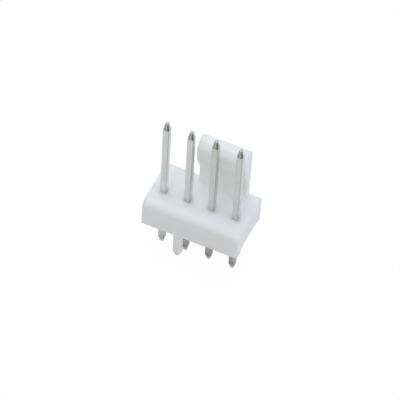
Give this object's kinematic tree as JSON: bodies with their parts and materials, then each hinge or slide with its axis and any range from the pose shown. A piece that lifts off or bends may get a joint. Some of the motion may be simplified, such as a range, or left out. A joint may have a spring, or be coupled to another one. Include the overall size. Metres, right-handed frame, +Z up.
{
  "type": "pin header",
  "caption": "Straight board header: a white moulded base with a raised friction-lock wall and a locating peg, and a row of square tinned pins with solder tails.",
  "frame": {"origin": "middle of the row of pins, on the face of the board that the feet stand on", "axes": "+X along the row from pin 1 to pin 4, +Y back towards the lock wall, +Z up along the pins, away from the board"},
  "size_m": [0.0102, 0.0056, 0.0178],
  "materials": {
    "nylon": "satin",
    "tinned_wire": "satin"
  },
  "bodies": {
    "root": {"housing": "nylon", "pin_1": "tinned_wire", "pin_2": "tinned_wire", "pin_3": "tinned_wire", "pin_4": "tinned_wire"}
  },
  "joints": []
}
